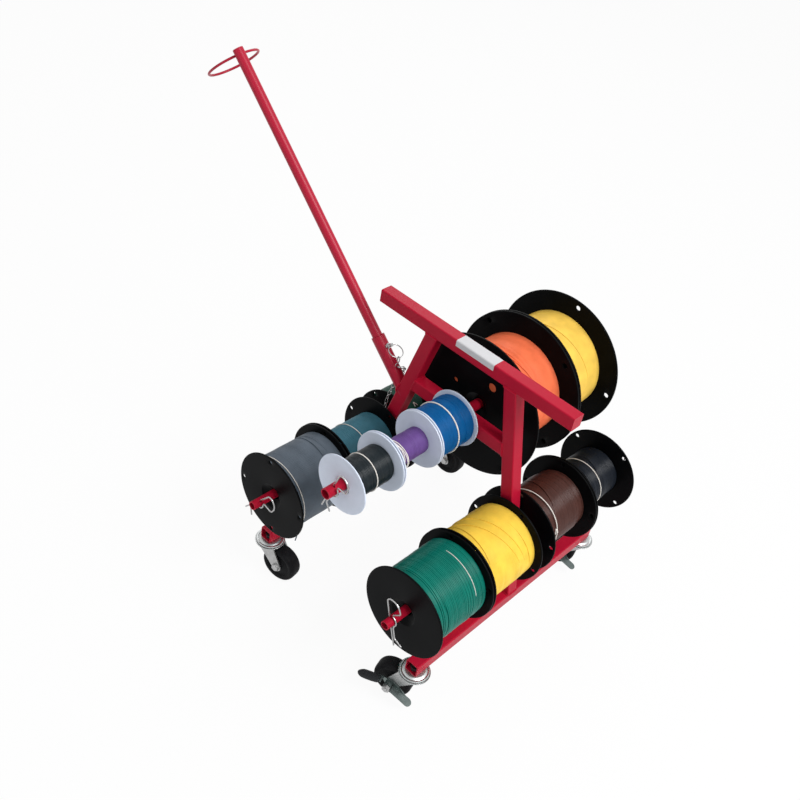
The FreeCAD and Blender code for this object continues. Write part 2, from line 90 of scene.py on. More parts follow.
def surface(points, wrapU=False, wrapV=False, capU=False):
    # Grid of points (rows u, columns v) to corners, quads and end caps, faced outward: the volume inside, a
    # sum of corner . (corner x corner), is positive
    nu, nv = points.shape[:2]
    u = np.arange(nu if wrapU else nu - 1)
    v = np.arange(nv if wrapV else nv - 1)
    a, b = np.meshgrid(u, v, indexing="ij")
    c, d = (a + 1) % nu, (b + 1) % nv
    quads = np.stack([a * nv + b, c * nv + b, c * nv + d, a * nv + d], -1).reshape(-1, 4)
    caps = []
    if capU:
        caps = [list(range(nv))[::-1], [(nu - 1) * nv + i for i in range(nv)]]
    corners = points.reshape(-1, 3)
    q = corners[quads] - corners.mean(0)
    volume = np.einsum("ij,ij->i", q[:, 0], np.cross(q[:, 1], q[:, 2])).sum()
    volume += np.einsum("ij,ij->i", q[:, 0], np.cross(q[:, 2], q[:, 3])).sum()
    for cap in caps:
        p = corners[cap] - corners.mean(0)
        volume += (p[0] * np.cross(p[1:-1], p[2:]).sum(0)).sum()
    if volume < 0:
        quads = quads[:, ::-1]
        caps = [cap[::-1] for cap in caps]
    return corners, quads, caps


def piece(name, body, parts, material, stands=(), sharp=35.0, welded=False):
    # One object from several surfaces; welded ones are merged and their normals worked out again
    verts, faces, start = [], [], 0
    for corners, quads, caps in parts:
        verts.append(corners)
        faces += (quads + start).tolist() + [[i + start for i in cap] for cap in caps]
        start += len(corners)
    verts = (np.concatenate(verts) + axisX * frameX) * mm
    mesh = bpy.data.meshes.new(name)
    mesh.from_pydata(verts, [], faces)
    if welded:
        bm = bmesh.new()
        bm.from_mesh(mesh)
        bmesh.ops.remove_doubles(bm, verts=bm.verts, dist=0.002 * mm)
        bmesh.ops.recalc_face_normals(bm, faces=bm.faces)
        bm.to_mesh(mesh)
        bm.free()
    mesh.polygons.foreach_set("use_smooth", np.ones(len(mesh.polygons), bool))
    mesh.set_sharp_from_angle(angle=math.radians(sharp))
    mesh.update()
    thing = bpy.data.objects.new(name, mesh)
    thing.data.materials.append(material)
    bpy.context.scene.collection.objects.link(thing)
    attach(thing, body)
    if stands:
        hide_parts(*stands)


def circle(r, count):
    # (r cos a, r sin a) at even angles
    a = np.arange(count) * 2 * math.pi / count
    return np.stack([r * np.cos(a), r * np.sin(a)], -1)


def carry(path, guide, section, closed=False):
    # A section carried along a path: point = path + n * s0 + b * s1, n square to the guide and the path
    if closed:
        along = np.roll(path, -1, 0) - np.roll(path, 1, 0)
    else:
        along = np.gradient(path, axis=0)
    along = unit(along)
    n = unit(np.cross(np.broadcast_to(guide, path.shape), along))
    b = np.cross(along, n)
    if section.ndim == 2:
        section = np.broadcast_to(section, (len(path),) + section.shape)
    grid = path[:, None] + n[:, None] * section[..., :1] + b[:, None] * section[..., 1:]
    return surface(grid, wrapU=closed, wrapV=True, capU=not closed)


def turned(profile, centre, axis, steps=96):
    # Closed profile (radius, height) turned round an axis: centre + radius * ring(a) + height * axis
    profile = np.asarray(profile, float)
    leaning = np.array((0.36, 0.48, 0.8))
    side = unit(np.cross(axis, leaning if abs(axis[1]) > 0.9 else axisY))
    other = np.cross(axis, side)
    a = np.arange(steps) * 2 * math.pi / steps
    ring = np.cos(a)[:, None] * side + np.sin(a)[:, None] * other
    grid = np.asarray(centre) + profile[:, None, :1] * ring + profile[:, None, 1:] * axis
    return surface(grid, wrapU=True, wrapV=True)


def rounded(points, radii, steps):
    # Straight runs joined by arcs: centre + (first * sin((1 - t) * span) + last * sin(t * span)) / sin(span)
    out = [points[0]]
    for i in range(1, len(points) - 1):
        before = unit(points[i - 1] - points[i])
        after = unit(points[i + 1] - points[i])
        half = math.acos(np.clip(before @ after, -1, 1)) / 2
        r = radii[i - 1]
        centre = points[i] + unit(before + after) * r / math.sin(half)
        first = points[i] + before * r / math.tan(half) - centre
        last = points[i] + after * r / math.tan(half) - centre
        t = np.linspace(0, 1, steps)[:, None]
        span = math.pi - 2 * half
        arc = (first * np.sin((1 - t) * span) + last * np.sin(t * span)) / math.sin(span)
        out += list(centre + arc)
    out.append(points[-1])
    return np.array(out)


def runOf(path):
    # Distance along a path at each of its points
    return np.concatenate([[0], np.cumsum(np.linalg.norm(np.diff(path, axis=0), axis=1))])


def resampled(path, gap):
    # Even steps along a path of straight runs
    run = runOf(path)
    at = np.linspace(0, run[-1], max(int(run[-1] / gap) + 1, 2))
    return np.stack([np.interp(at, run, path[:, i]) for i in range(3)], -1)


def smoothPath(points, gap):
    # Natural cubic spline through points, by distance between them, read at even steps
    points = np.asarray(points, float)
    t = runOf(points)
    h = np.diff(t)
    n = len(points)
    m = np.zeros((n, n))
    rhs = np.zeros((n, 3))
    m[0, 0] = m[-1, -1] = 1
    i = np.arange(1, n - 1)
    m[i, i - 1], m[i, i], m[i, i + 1] = h[:-1], 2 * (h[:-1] + h[1:]), h[1:]
    slope = np.diff(points, axis=0) / h[:, None]
    rhs[1:-1] = 6 * (slope[1:] - slope[:-1])
    k = np.linalg.solve(m, rhs)
    s = np.linspace(0, t[-1], 400)
    j = np.clip(np.searchsorted(t, s, "right") - 1, 0, n - 2)
    a, b, w = (t[j + 1] - s)[:, None], (s - t[j])[:, None], h[j][:, None]
    line = (k[j] * a**3 + k[j + 1] * b**3) / (6 * w)
    line += (points[j] / w - k[j] * w / 6) * a + (points[j + 1] / w - k[j + 1] * w / 6) * b
    return resampled(line, gap)


# Finishes
# spread and roughSpread: how far colour and roughness wander; scale: of that noise; dust: added to the pale
# end; grain: scale of the cells in the bump, or None
plainFinish = {
    "metal": 0.0, "specular": 0.5, "spread": 0.08, "scale": 60.0, "dust": 0.0, "roughSpread": 0.06,
    "bump": 0.15, "bumpScale": 900.0, "bumpDistance": 0.0002, "grain": None,
}


def addNode(tree, kind, values=()):
    # A shader node with some of its inputs set
    node = tree.nodes.new("ShaderNode" + kind)
    for name, value in dict(values).items():
        node.inputs[name].default_value = value
    return node


def mathNode(tree, operation, first, second):
    # One operation on two sources, each a number or another node's output
    node = addNode(tree, "Math")
    node.operation = operation
    for socket, source in zip(node.inputs, (first, second)):
        if isinstance(source, float):
            socket.default_value = source
        else:
            tree.links.new(source, socket)
    return node.outputs["Value"]


def finish(name, colour, rough, **changes):
    # Principled surface in Object coordinates, with noise from -1 to 1: colour = base * (1 + spread * noise),
    # roughness = rough + roughSpread * noise, height of the bump = fine noise + distance in cells
    d = dict(plainFinish, **changes)
    mat = bpy.data.materials.new(name)
    mat.use_nodes = True
    tree = mat.node_tree
    link = tree.links.new
    shader = tree.nodes["Principled BSDF"]
    shader.inputs["Metallic"].default_value = d["metal"]
    shader.inputs["Specular IOR Level"].default_value = d["specular"]
    place = addNode(tree, "TexCoord").outputs["Object"]
    broad = addNode(tree, "TexNoise", {"Scale": d["scale"], "Detail": 5.0})
    link(place, broad.inputs["Vector"])
    ramp = addNode(tree, "ValToRGB")
    low, high = ramp.color_ramp.elements
    low.position = 0.3
    high.position = 0.7
    low.color = [max(c * (1 - d["spread"]), 0) for c in colour] + [1]
    high.color = [min(c * (1 + d["spread"]) + d["dust"], 1) for c in colour] + [1]
    link(broad.outputs["Fac"], ramp.inputs["Fac"])
    link(ramp.outputs["Color"], shader.inputs["Base Color"])
    away = d["roughSpread"]
    gloss = addNode(tree, "MapRange", {"To Min": rough - away, "To Max": rough + away})
    link(broad.outputs["Fac"], gloss.inputs["Value"])
    link(gloss.outputs["Result"], shader.inputs["Roughness"])
    fine = addNode(tree, "TexNoise", {"Scale": d["bumpScale"], "Detail": 3.0})
    link(place, fine.inputs["Vector"])
    height = fine.outputs["Fac"]
    if d["grain"]:
        cells = addNode(tree, "TexVoronoi", {"Scale": d["grain"]})
        link(place, cells.inputs["Vector"])
        height = mathNode(tree, "ADD", height, cells.outputs["Distance"])
    bump = addNode(tree, "Bump", {"Strength": d["bump"], "Distance": d["bumpDistance"]})
    link(height, bump.inputs["Height"])
    link(bump.outputs["Normal"], shader.inputs["Normal"])
    return mat


redPaint = finish("redPowderCoat", (0.44, 0.007, 0.030), 0.36, spread=0.05, scale=14, specular=0.10,
                  bumpScale=420, bump=0.10, bumpDistance=0.0003)
redTubePaint = finish("redTubePaint", (0.42, 0.007, 0.032), 0.34, spread=0.05, scale=14, specular=0.25,
                      roughSpread=0.03, bumpScale=40, bump=0.01)
zincSteel = finish("brightZinc", (0.52, 0.54, 0.54), 0.36, metal=1.0, spread=0.10, scale=160, bumpScale=700,
                   bump=0.04)
forkZinc = finish("dullZinc", (0.42, 0.42, 0.42), 0.42, metal=1.0, spread=0.12, scale=120, roughSpread=0.08,
                  bumpScale=600, bump=0.08)
# Brake lever zinc, darkened to grey-green: painted dark reflection of the surroundings
leverZincDarkReflection = finish("leverZincDarkReflection", (0.15, 0.18, 0.175), 0.36, metal=1.0, spread=0.12, scale=120, bumpScale=600,
                   bump=0.06)
wireSteel = finish("clipWire", (0.40, 0.40, 0.40), 0.26, metal=1.0, spread=0.1, scale=200, roughSpread=0.08)
boltSteel = finish("blackBolt", (0.020, 0.020, 0.022), 0.45, spread=0.2, scale=150, specular=0.3)
tyreRubber = finish("tyreRubber", (0.006, 0.006, 0.007), 0.6, spread=0.3, scale=90, dust=0.002,
                    roughSpread=0.12, bumpScale=500, bump=0.25, grain=900, specular=0.08)
padPlastic = finish("padPlastic", (0.012, 0.013, 0.015), 0.5, spread=0.2, scale=120, dust=0.002, grain=1200,
                    specular=0.25)
blackPlastic = finish("blackReelPlastic", (0.0026, 0.0029, 0.0034), 0.38, spread=0.2, scale=35, dust=0.0006,
                      roughSpread=0.07, bumpScale=700, bump=0.10, specular=0.035)
# White reel plastic, darkened and tinted blue: painted bluish studio shade
blueShadedWhitePlastic = finish("whiteReelPlasticBlueShade", (0.67, 0.735, 0.86), 0.45, spread=0.04, scale=40, specular=0.2,
                      bumpScale=500, bump=0.08)
stickerPaper = finish("stickerPaper", (0.60, 0.60, 0.62), 0.5, spread=0.03, scale=90, bumpScale=1500,
                      bump=0.1, specular=0.2)
tieString = finish("tieString", (0.86, 0.82, 0.76), 0.8, spread=0.12, scale=700, bumpScale=2500, bump=0.6,
                   specular=0.1)

# insulation: colour, roughness, specular level; the glossier ones show a shine on each turn
insulation = {
    "green": ((0.001, 0.160, 0.120), 0.30, 0.16),
    "amber": ((0.88, 0.58, 0.070), 0.42, 0.12),
    "brown": ((0.068, 0.024, 0.018), 0.30, 0.22),
    "charcoal": ((0.007, 0.010, 0.016), 0.30, 0.20),
    "grey": ((0.105, 0.130, 0.160), 0.42, 0.12),
    "teal": ((0.050, 0.170, 0.225), 0.42, 0.12),
    "forest": ((0.004, 0.060, 0.038), 0.30, 0.15),
    "black": ((0.010, 0.016, 0.020), 0.30, 0.22),
    "purple": ((0.130, 0.065, 0.240), 0.42, 0.12),
    "blue": ((0.002, 0.100, 0.300), 0.42, 0.12),
    "orange": ((0.83, 0.170, 0.070), 0.42, 0.12),
    "yellow": ((0.86, 0.56, 0.095), 0.42, 0.12),
}
wireFinish = {}
for reelName, (colour, rough, specular) in insulation.items():
    wireFinish[reelName] = finish(reelName + "Insulation", colour, rough, specular=specular, spread=0.10,
                                  scale=45, bumpScale=1200, bump=0.06)
print("finishes made")

# CAD nodes that stay and take a finish
cadFinishes = [
    (redPaint, ["left_rail", "right_rail", "left_leg", "right_leg", "top_crossbar", "middle_crossbar",
                "chain_lug", "left_spindle", "right_spindle", "centre_spindle"]),
    (redTubePaint, ["pole_socket", "pole"]),
    (zincSteel, ["pull_pin"]),
    (forkZinc, ["front_left_axle", "front_right_axle", "rear_left_axle", "rear_right_axle",
                "front_left_fork", "front_right_fork", "rear_left_fork", "rear_right_fork"]),
    (leverZincDarkReflection, ["front_right_brake_lever", "rear_right_brake_lever"]),
    (boltSteel, ["caster_bolts"]),
    (stickerPaper, ["blank_label"]),
]
for material, names in cadFinishes:
    for name in names:
        for place in nodes[name].material_slots:
            place.material = material
print("CAD parts dressed")

# Frame and weld beads
frameSizes = {
    "halfTube": 12.7, "corner": 2.4, "railX": 189.0, "railTop": 107.4, "barBottom": 514.9, "middleZ": 396.5,
    "splay": math.radians(14.0), "spindleX": 161.5, "spindleZ": 236.0, "spindleR": 7.95, "centreR": 9.525,
    "tipY": 319.0,
}
# proud: from a spindle's wall to the bead's middle; spindleSize and poleSize: as shares of r
weld = {"r": 1.7, "ripple": 0.16, "pitch": 2.6, "proud": 0.4, "spindleSize": 0.9, "poleSize": 1.25}
wallX = frameSizes["halfTube"] / math.cos(frameSizes["splay"])  # half a leg's width, measured level


def squareLoop(halfU, halfV, corner, gap=0.65):
    # Outline of a rounded rectangle as (u, v), closed: straight sides between quarter circles
    c = corner
    corners = [(halfU - c, halfV - c, 0), (c - halfU, halfV - c, 90), (c - halfU, c - halfV, 180),
               (halfU - c, c - halfV, 270)]
    a = np.radians(np.linspace(0, 90, 7))
    loop = [np.stack([x + c * np.cos(a + math.radians(t)), y + c * np.sin(a + math.radians(t))], -1)
            for x, y, t in corners]
    loop = np.concatenate(loop)
    closed = np.concatenate([loop, loop[:1]])
    flat = resampled(np.pad(closed, ((0, 0), (0, 1))), gap)
    return flat[:-1, :2]


def bead(path, guide, size=1.0):
    # A half sunk tube: radius = size * (r + ripple * cos(distance along it, in waves))
    steps = np.linalg.norm(np.roll(path, -1, 0) - path, axis=1)
    run = np.cumsum(steps) - steps
    waves = max(round(steps.sum() / weld["pitch"]), 3)
    r = size * (weld["r"] + weld["ripple"] * np.cos(run / steps.sum() * 2 * math.pi * waves))
    section = circle(1.0, 8)[None] * r[:, None, None]
    return carry(path, guide, section, closed=True)


def spindleBead(r, at, count):
    # A bead round a spindle: at + (r cos a, 0, r sin a)
    ring = np.insert(circle(r + weld["proud"], count), 1, 0, 1)
    return bead(ring + at, axisY, weld["spindleSize"])


def spindleAt(name):
    # Place (x, z) and outside radius of a spindle
    s = frameSizes
    if name == "centre":
        return 0.0, s["middleZ"], s["centreR"]
    return s["spindleX"] if name == "right" else -s["spindleX"], s["spindleZ"], s["spindleR"]


def legX(z):
    # Middle of a leg at a height: rail's place - (z - top of the rail) * tan(splay)
    s = frameSizes
    return s["railX"] - (z - s["railTop"]) * math.tan(s["splay"])


def frameWelds():
    # Beads round both ends of each leg, both ends of the middle bar, and each spindle where it leaves a tube
    s = frameSizes
    beads = []
    for side in (-1, 1):
        for z in (s["railTop"], s["barBottom"]):
            uv = squareLoop(wallX, s["halfTube"], s["corner"])
            flat = np.stack([uv[:, 0] + side * legX(z), uv[:, 1], np.full(len(uv), z)], -1)
            beads.append(bead(flat, axisZ))
        uv = squareLoop(s["halfTube"], s["halfTube"], s["corner"])
        z = s["middleZ"] + uv[:, 0]
        beads.append(bead(np.stack([side * (legX(z) - wallX), uv[:, 1], z], -1), axisX))
        for end in (-1, 1):
            at = (side * s["spindleX"], end * s["halfTube"], s["spindleZ"])
            beads.append(spindleBead(s["spindleR"], at, 48))
    for end in (-1, 1):
        beads.append(spindleBead(s["centreR"], (0, end * s["halfTube"], s["middleZ"]), 54))
    return beads


# Pole and guide ring
poleSizes = {
    "base": np.array((-126.5, 0.0, 358.0)), "axis": unit(np.array((-0.679, -0.085, 0.729))), "r": 9.525,
    "socketR": 12.7, "socketShift": 0.7, "weldProud": 0.3, "ringAt": 650.8, "ringR": 47.8, "rodR": 2.25,
    "ringTurn": math.radians(158.5), "footWeldR": 2.6,
}
# Two directions square to the pole: poleSide leans to the right, poleBack to the back
poleSide = np.array((0.732, 0.0, 0.682))
poleSide = unit(poleSide - poleSizes["axis"] * (poleSide @ poleSizes["axis"]))
poleBack = unit(np.cross(poleSizes["axis"], poleSide))


def ringTube(centre, axis, r, wireR, steps=96, sides=12):
    # Torus: centre + (r + wireR cos b) * ring(a) + wireR sin b * axis
    return turned(circle(wireR, sides) + (r, 0.0), centre, axis, steps)


def poleWeld():
    # The socket's wall slid along the pole's axis onto the leg's outer face, where x + legX(z) + wallX = 0
    p = poleSizes
    a = np.linspace(0, 2 * math.pi, 90)[:-1]
    spoke = np.cos(a)[:, None] * poleSide + np.sin(a)[:, None] * poleBack
    wall = p["base"] + poleSide * p["socketShift"] + spoke * (p["socketR"] + p["weldProud"])
    slope = math.tan(frameSizes["splay"])
    rate = p["axis"][0] - p["axis"][2] * slope
    path = wall - ((wall[:, 0] + legX(wall[:, 2]) + wallX) / rate)[:, None] * p["axis"]
    path = resampled(np.concatenate([path, path[:1]]), 0.6)[:-1]
    return bead(path, unit(np.array((-1.0, 0.0, slope))), weld["poleSize"])


def guideRing():
    # A round rod in a ring beside the pole's top, with a small weld all round its foot
    p = poleSizes
    way = poleSide * math.cos(p["ringTurn"]) + poleBack * math.sin(p["ringTurn"])
    top = p["base"] + p["axis"] * p["ringAt"]
    foot = ringTube(top + way * p["r"], way, p["footWeldR"], weld["r"], 24, 8)
    return [ringTube(top + way * (p["ringR"] + p["r"]), p["axis"], p["ringR"], p["rodR"], 128, 12), foot]


piece("guideRingHoop", "frame", guideRing(), redTubePaint, ["guide_ring"])
piece("weldBeads", "frame", frameWelds() + [poleWeld()], redPaint)
print("ring and welds made")

# Pull pin's ring and chain. low: shares of out and front in the way to the ring's lowest point; coilR: share
# of the wire; coilAt: each coil's distance from the ring's middle; play: between the ring and its link;
# route: the chain's middle line
pullSizes = {"pinAt": 93.0, "eye": 24.0, "r": 14.0, "wire": 1.0, "out": unit(np.array((0.917, 0.0, -0.4))),
             "low": (0.965, 0.26), "coilR": 0.62, "coilAt": 0.55, "play": 0.1}
chainSizes = {
    "length": 13.2, "width": 7.4, "wire": 1.8, "pitch": 9.7,
    "route": [(-146.7, -11.5, 413.4), (-145.5, -3.5, 405.5), (-146.0, 7.0, 401.0), (-150.0, 15.0, 390.0),
              (-158.0, 16.0, 368.0), (-165.0, 12.5, 345.0), (-170.5, 8.0, 312.0), (-170.5, 5.0, 290.0)],
}


def chainLink(centre, along, flat):
    # Round wire bent to a stadium: two half circles joined by straight sides
    s = chainSizes
    r = (s["width"] - s["wire"]) / 2
    straight = s["length"] / 2 - s["wire"] / 2 - r
    a = np.linspace(-math.pi / 2, math.pi / 2, 10)
    right = np.stack([straight + r * np.cos(a), r * np.sin(a)], -1)
    loop = np.concatenate([right, -right])
    path = centre + loop[:, :1] * along + loop[:, 1:] * np.cross(along, flat)
    return carry(path, flat, circle(s["wire"] / 2, 8), closed=True)


def pullRing():
    # Split ring: two coils side by side through the pin's eye, and a link that hangs from its lowest point
    s = pullSizes
    eye = poleSizes["base"] + poleSizes["axis"] * s["pinAt"] + poleSide * s["eye"]
    axis = unit(np.cross(s["out"], poleBack))
    down = unit(s["out"] * s["low"][0] - poleBack * s["low"][1])
    centre = eye + s["out"] * s["r"]
    flat = unit(np.cross(axis, down) * (1, 1, 0))
    drop = chainSizes["length"] / 2 - chainSizes["wire"] - s["wire"] - s["play"]
    hang = centre + down * s["r"] - axisZ * drop
    coils = [ringTube(centre + axis * at, axis, s["r"], s["wire"] * s["coilR"], 72, 8)
             for at in (-s["coilAt"], s["coilAt"])]
    return coils + [chainLink(hang, axisZ, flat)]


def lanyardChain():
    # A link every pitch along the smooth route, each turned a quarter from the one before
    line = smoothPath(chainSizes["route"], 0.5)
    run = runOf(line)
    way = unit(np.gradient(line, axis=0))
    links = []
    for i in range(int(run[-1] / chainSizes["pitch"]) + 1):
        j = min(np.searchsorted(run, i * chainSizes["pitch"]), len(way) - 1)
        along = way[j]
        flat = unit(np.cross(along, axisY if abs(along[1]) < 0.9 else axisX))
        if i % 2:
            flat = unit(np.cross(along, flat))
        links.append(chainLink(line[j], along, flat))
    return links


piece("pullRing", "pull_pin", pullRing(), wireSteel, ["pull_pin_ring"])
piece("lanyardLinks", "frame", lanyardChain(), wireSteel, ["lanyard_chain"])

# Hairpin cotters: wire radius, room beside the spindle, place before its tip, and tilt in degrees on each
cotterSizes = {"r": 1.4, "clear": 0.4, "inset": 15.0, "tilt": {"left": -39.0, "right": 19.7, "centre": -18.5}}


def cotter(name, end):
    # One wire, as (down, aside) from the spindle's middle: a straight leg through the spindle, a D-shaped
    # loop above it, and a leg that hugs the spindle's outside and flares at its end
    x, z, tubeR = spindleAt(name)
    tilt = math.radians(cotterSizes["tilt"][name]) * -end
    down = np.array((math.sin(tilt), 0, -math.cos(tilt)))
    aside = np.array((-down[2], 0, down[0]))
    hug = tubeR + cotterSizes["r"] + cotterSizes["clear"]
    far = hug * math.sqrt(2)  # where two tangents of the hugging arc meet
    outline = np.array([(50, -2), (-46, -2), (-42, 21), (-22, 24), (1.2 - far, 3.8), (0, far),
                        (far - 2.6, 2.6), (34, 2.4), (45, 16)], float)
    radii = [8, 16, 6, 4, hug, 9, 4]
    flat = resampled(rounded(np.pad(outline, ((0, 0), (0, 1))), radii, 12), 0.8)
    middle = np.array((x, end * (frameSizes["tipY"] - cotterSizes["inset"]), z))
    path = middle + flat[:, :1] * down + flat[:, 1:2] * aside
    section = circle(cotterSizes["r"], 10)[None] * np.ones((len(path), 1, 1))
    section[[0, -1]] *= 0.35  # rounded ends
    section[[1, -2]] *= 0.8
    return carry(path, axisY, section)


cotters = [cotter(name, end) for name in cotterSizes["tilt"] for end in (-1, 1)]
piece("hairpinClips", "frame", cotters, wireSteel, ["hairpin_cotters"])
print("pins, clips and chain made")

# Reels
# holes: (radius of their ring, hole radii in turn, count, angle from the reel's own angle); steps: corners
# round the reel; holeSteps: half of the steps that a hole's patch spans; dish: radius of the hollow round
# the bore; look: finish and slot
smallReel = {"flangeR": 82.5, "width": 128.0, "flange": 3.2, "barrelR": 28.0, "dish": 24.0, "steps": 160,
             "holeSteps": 4, "holes": [(74.0, (4.0,), 4, 0.0)], "look": (blackPlastic, "black_plastic")}
narrowReel = dict(smallReel, width=122.0)
whiteReel = {"flangeR": 52.5, "width": 88.5, "flange": 2.6, "barrelR": 17.5, "dish": 15.0, "steps": 160,
             "holeSteps": 4, "holes": [], "look": (blueShadedWhitePlastic, "white_plastic")}
largeReel = {"flangeR": 135.0, "width": 121.0, "flange": 4.0, "barrelR": 45.0, "dish": 24.0, "steps": 192,
             "holeSteps": 5, "holes": [(58.5, (9.0, 5.0), 4, 0.0), (122.0, (5.0,), 4, -21.0)],
             "look": (blackPlastic, "black_plastic")}
# clear: left between the bore and the top of its spindle; dishLip: rounded edge outside the dish; holeMargin
# and holeBands: of a hole's patch
mould = {"boreR": 10.3, "clear": 0.35, "dishDepth": 9.0, "dishLip": 1.2, "rim": 2.0, "rimRound": 0.9,
         "holeMargin": 2.2, "holeBands": 4}

# y: of the front face; turn: angle of a hole in degrees; wire: thickness
reelColumns = ("kind", "spindle", "y", "windingR", "turn", "wire")
reelRows = {
    "green": (smallReel, "right", -277.0, 69.5, 20.0, 2.9),
    "amber": (smallReel, "right", -146.0, 68.5, 73.5, 2.5),
    "brown": (smallReel, "right", 16.5, 59.0, 8.5, 2.7),
    "charcoal": (narrowReel, "right", 146.5, 48.0, 53.5, 2.9),
    "grey": (smallReel, "left", -277.0, 69.0, 6.5, 2.3),
    "teal": (smallReel, "left", -146.0, 53.0, 69.0, 2.7),
    "forest": (smallReel, "left", 16.5, 75.0, 40.0, 2.7),
    "black": (whiteReel, "centre", -285.0, 33.0, 0.0, 2.4),
    "purple": (whiteReel, "centre", -194.5, 24.0, 0.0, 2.3),
    "blue": (whiteReel, "centre", -104.0, 46.0, 0.0, 2.4),
    "orange": (largeReel, "centre", 41.0, 96.0, 67.9, 2.6),
    "yellow": (largeReel, "centre", 164.0, 97.0, 104.8, 2.6),
}
reels = {reelName: dict(zip(reelColumns, row)) for reelName, row in reelRows.items()}
plainFronts = ("green",)  # front flanges that show no holes


def reelAxis(name):
    # The point of the reel's axis at y = 0: its bore hangs on top of its spindle
    x, z, tubeR = spindleAt(reels[name]["spindle"])
    return np.array((x, 0.0, z - (mould["boreR"] - tubeR - mould["clear"])))


def polar(r, a, y, centre):
    # Point at radius r and angle a from +X toward +Z, at y from the centre
    r, a, y = np.broadcast_arrays(np.asarray(r, float), np.asarray(a, float), np.asarray(y, float))
    return np.stack([centre[0] + r * np.cos(a), centre[1] + y, centre[2] + r * np.sin(a)], -1)


def evenAngles(steps):
    # Even angles round a full turn, in one row
    return np.arange(steps)[None] * 2 * math.pi / steps


def ringLoop(kind, mid, r0, r1):
    # Outline of a hole's patch as (x, z): arcs at r0 and r1 to both sides of the step mid, and radial sides
    half, bands = kind["holeSteps"], mould["holeBands"]
    across = (mid + np.arange(-half, half + 1)) * 2 * math.pi / kind["steps"]
    out = np.linspace(r0, r1, bands + 1)
    side = np.ones(bands - 1)
    a = np.concatenate([across, across[-1] * side, across[::-1], across[0] * side])
    r = np.concatenate([np.full(len(across), r0), out[1:-1], np.full(len(across), r1), out[1:-1][::-1]])
    return r * np.cos(a), r * np.sin(a)


def holePatch(kind, mid, at, r0, r1, radius, centre, levels):
    # From the patch's outline to the hole's circle by equal angle, and through the flange: one ring a level,
    # whose widening is added to the hole's radius, or None for the outline itself
    px, pz = ringLoop(kind, mid, r0, r1)
    middle = mid * 2 * math.pi / kind["steps"]
    hx, hz = at * math.cos(middle), at * math.sin(middle)
    phi = np.arctan2(pz - hz, px - hx)
    rings = []
    for widening, y in levels:
        if widening is None:
            x, z = px, pz
        else:
            x, z = hx + (radius + widening) * np.cos(phi), hz + (radius + widening) * np.sin(phi)
        rings.append(np.stack([centre[0] + x, np.full(len(x), centre[1] + y), centre[2] + z], -1))
    return surface(np.array(rings), wrapV=True)


def annulus(kind, r0, r1, y, centre, holed):
    # Flat ring between two radii, without the quads where the patches of holes lie
    steps, half = kind["steps"], kind["holeSteps"]
    keep = np.ones(steps, bool)
    for mid in holed:
        keep[np.arange(mid - half, mid + half) % steps] = False
    u = np.arange(steps)[keep]
    rows = mould["holeBands"] + 1 if holed else 2
    corners = polar(np.linspace(r0, r1, rows)[:, None], evenAngles(steps), y, centre).reshape(-1, 3)
    quads = [np.stack([k * steps + u, k * steps + (u + 1) % steps, (k + 1) * steps + (u + 1) % steps,
                       (k + 1) * steps + u], -1) for k in range(rows - 1)]
    return corners, np.concatenate(quads), []


def reelFlange(kind, centre, yOut, yIn, turn):
    # Flat flange from the barrel to its rounded rim, with round holes cut clean through; levels are the
    # (widening, y) of a hole's rings, soft at both faces
    outer, margin, steps = kind["flangeR"], mould["holeMargin"], kind["steps"]
    away = 1 if yOut > yIn else -1
    parts = []
    edges = [kind["dish"] + mould["dishLip"]]
    holed = {}
    for at, radii, count, shift in kind["holes"]:
        r0, r1 = at - max(radii) - margin, min(at + max(radii) + margin, outer - margin)
        levels = [(None, yOut), (0.5, yOut), (0.15, yOut - away * 0.15), (0.0, yOut - away * 0.5),
                  (0.0, yIn + away * 0.5), (0.15, yIn + away * 0.15), (0.5, yIn), (None, yIn)]
        mids = [round((turn + shift + 360 * i / count) / 360 * steps) for i in range(count)]
        for i, mid in enumerate(mids):
            parts.append(holePatch(kind, mid, at, r0, r1, radii[i % len(radii)], centre, levels))
        holed[len(edges)] = mids
        edges += [r0, r1]
    edges.append(outer - mould["rim"])
    for y, bounds in ((yOut, edges), (yIn, [kind["barrelR"]] + edges[1:])):
        for k in range(len(bounds) - 1):
            parts.append(annulus(kind, bounds[k], bounds[k + 1], y, centre, holed.get(k, [])))
    thick, soft = abs(yOut - yIn), mould["rimRound"]
    rim = [(outer - mould["rim"], 0.0), (outer - soft, 0.0), (outer - 0.25, 0.25), (outer, soft)]
    rim = np.array(rim + [(r, thick - depth) for r, depth in rim[::-1]])
    parts.append(surface(polar(rim[:, :1], evenAngles(steps), yOut - away * rim[:, 1:], centre), wrapV=True))
    return parts


def makeReel(name):
    # Two flanges, a hub dished at both ends round the bore, and the barrel, welded into one closed skin
    reel = reels[name]
    kind = reel["kind"]
    centre = reelAxis(name) + axisY * reel["y"]
    width, flange, d = kind["width"], kind["flange"], kind["dish"]
    front = dict(kind, holes=[]) if name in plainFronts else kind
    parts = reelFlange(front, centre, 0.0, flange, reel["turn"])
    parts += reelFlange(kind, centre, width, width - flange, reel["turn"])
    bore, deep = mould["boreR"], mould["dishDepth"]
    hub = [(d + mould["dishLip"], 0.0), (d + 0.4, 0.1), (d - 0.2, 0.5), (d - 3.2, 2.4), (d - 3.8, 2.6),
           (bore + 2.6, deep - 1.2), (bore + 0.8, deep - 0.5), (bore, deep)]
    hub += [(r, width - depth) for r, depth in hub[::-1]]
    for profile in (hub, [(kind["barrelR"], flange), (kind["barrelR"], width - flange)]):
        profile = np.array(profile)
        skin = polar(profile[:, :1], evenAngles(kind["steps"]), profile[:, 1:], centre)
        parts.append(surface(skin, wrapV=True))
    material, slot = kind["look"]
    piece(name + "Reel", name + "_spool", parts, material, [name + "_reel"], sharp=40, welded=True)


for reelName in reels:
    makeReel(reelName)
print("reels made")

